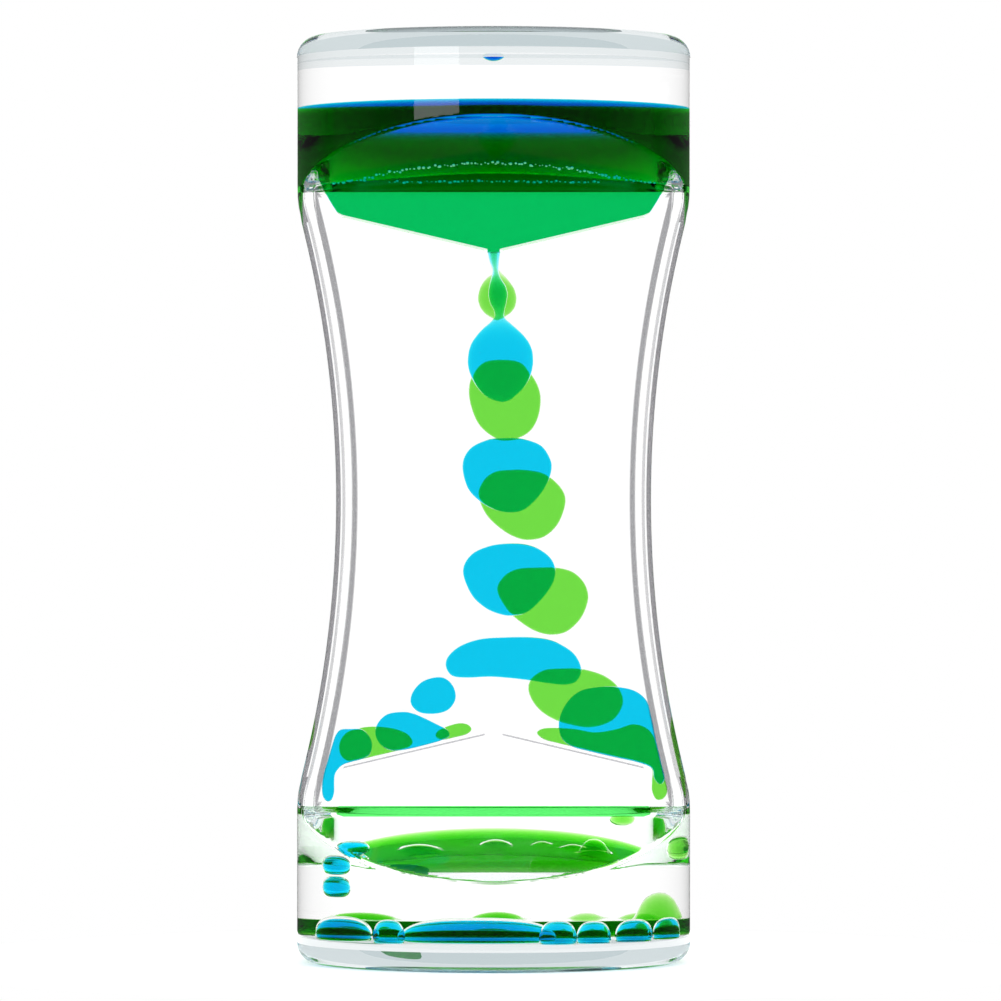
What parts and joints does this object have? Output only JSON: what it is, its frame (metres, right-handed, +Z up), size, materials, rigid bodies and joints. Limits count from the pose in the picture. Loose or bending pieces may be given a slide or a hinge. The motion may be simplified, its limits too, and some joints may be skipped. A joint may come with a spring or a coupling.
{
  "type": "liquid motion timer",
  "caption": "Clear dumbbell-shaped desk timer: turned over, coloured water falls in drops through oil from the upper end to the lower, in a front and a rear chamber.",
  "frame": {"origin": "centre of the base ring, on the floor", "axes": "+Z up along the timer's axis, -Y towards the viewer (front chamber), +X to the viewer's right"},
  "size_m": [0.057, 0.057, 0.134],
  "materials": {
    "clear_plastic": "polished clear plastic",
    "plug_rubber": "smooth soft rubber",
    "blue_water": "clear blue dyed water",
    "green_water": "clear lime dyed water"
  },
  "bodies": {
    "casing": {"front_shell": "clear_plastic", "rear_shell": "clear_plastic", "divider_plate": "clear_plastic", "upper_end_cap": "clear_plastic", "lower_end_cap": "clear_plastic", "front_upper_funnel": "clear_plastic", "front_lower_funnel": "clear_plastic", "rear_upper_funnel": "clear_plastic", "rear_lower_funnel": "clear_plastic", "front_fill_plug": "plug_rubber", "rear_fill_plug": "plug_rubber", "blue_upper_pool": "blue_water", "blue_ramp_left_lower": "blue_water", "blue_gap_left": "blue_water", "blue_gap_right": "blue_water", "blue_floor_drops": "blue_water", "blue_ceiling_drop": "blue_water", "green_upper_pool": "green_water", "green_drop_4": "green_water", "green_ramp_left_tip": "green_water", "green_ramp_left": "green_water", "green_gap_right": "green_water", "green_floor_drops": "green_water"},
    "blue_drop_0_body": {"blue_drop_0": "blue_water"},
    "blue_drop_1_body": {"blue_drop_1": "blue_water"},
    "blue_drop_2_body": {"blue_drop_2": "blue_water"},
    "blue_drop_3_body": {"blue_drop_3": "blue_water"},
    "blue_ramp_left_upper_body": {"blue_ramp_left_upper": "blue_water"},
    "blue_sinking_drops_body": {"blue_sinking_drops": "blue_water"},
    "green_drop_0_body": {"green_drop_0": "green_water"},
    "green_drop_1_body": {"green_drop_1": "green_water"},
    "green_drop_2_body": {"green_drop_2": "green_water"},
    "green_drop_3_body": {"green_drop_3": "green_water"},
    "green_sinking_drop_body": {"green_sinking_drop": "green_water"}
  },
  "joints": [
    {"name": "blue_drop_0_fall", "type": "slide", "parent": "casing", "child": "blue_drop_0_body", "axis": [0, 0, -1], "range_m": [0, 0.0126]},
    {"name": "blue_drop_1_fall", "type": "slide", "parent": "casing", "child": "blue_drop_1_body", "axis": [0, 0, -1], "range_m": [0, 0.0078]},
    {"name": "blue_drop_2_fall", "type": "slide", "parent": "casing", "child": "blue_drop_2_body", "axis": [0, 0, -1], "range_m": [0, 0.0038]},
    {"name": "blue_drop_3_fall", "type": "slide", "parent": "casing", "child": "blue_drop_3_body", "axis": [0, 0, -1], "range_m": [0, 0.001]},
    {"name": "blue_ramp_slide", "type": "slide", "parent": "casing", "child": "blue_ramp_left_upper_body", "axis": [0.8779, 0, -0.4789], "range_m": [0, 0.0024]},
    {"name": "green_drop_0_fall", "type": "slide", "parent": "casing", "child": "green_drop_0_body", "axis": [0, 0, -1], "range_m": [0, 0.0154]},
    {"name": "green_drop_1_fall", "type": "slide", "parent": "casing", "child": "green_drop_1_body", "axis": [0, 0, -1], "range_m": [0, 0.0104]},
    {"name": "green_drop_2_fall", "type": "slide", "parent": "casing", "child": "green_drop_2_body", "axis": [0, 0, -1], "range_m": [0, 0.0071]},
    {"name": "green_drop_3_fall", "type": "slide", "parent": "casing", "child": "green_drop_3_body", "axis": [0, 0, -1], "range_m": [0, 0.004]},
    {"name": "blue_sink", "type": "slide", "parent": "casing", "child": "blue_sinking_drops_body", "axis": [0, 0, -1], "range_m": [0, 0.002]},
    {"name": "green_sink", "type": "slide", "parent": "casing", "child": "green_sinking_drop_body", "axis": [0, 0, -1], "range_m": [0, 0.0055]}
  ],
  "couplings": [
    {"joint": "blue_drop_1_fall", "follows": "blue_drop_0_fall", "ratio": 0.619},
    {"joint": "blue_drop_2_fall", "follows": "blue_drop_0_fall", "ratio": 0.3016},
    {"joint": "blue_drop_3_fall", "follows": "blue_drop_0_fall", "ratio": 0.0794},
    {"joint": "blue_ramp_slide", "follows": "blue_drop_0_fall", "ratio": 0.1905},
    {"joint": "green_drop_1_fall", "follows": "green_drop_0_fall", "ratio": 0.6753},
    {"joint": "green_drop_2_fall", "follows": "green_drop_0_fall", "ratio": 0.461},
    {"joint": "green_drop_3_fall", "follows": "green_drop_0_fall", "ratio": 0.2597}
  ]
}
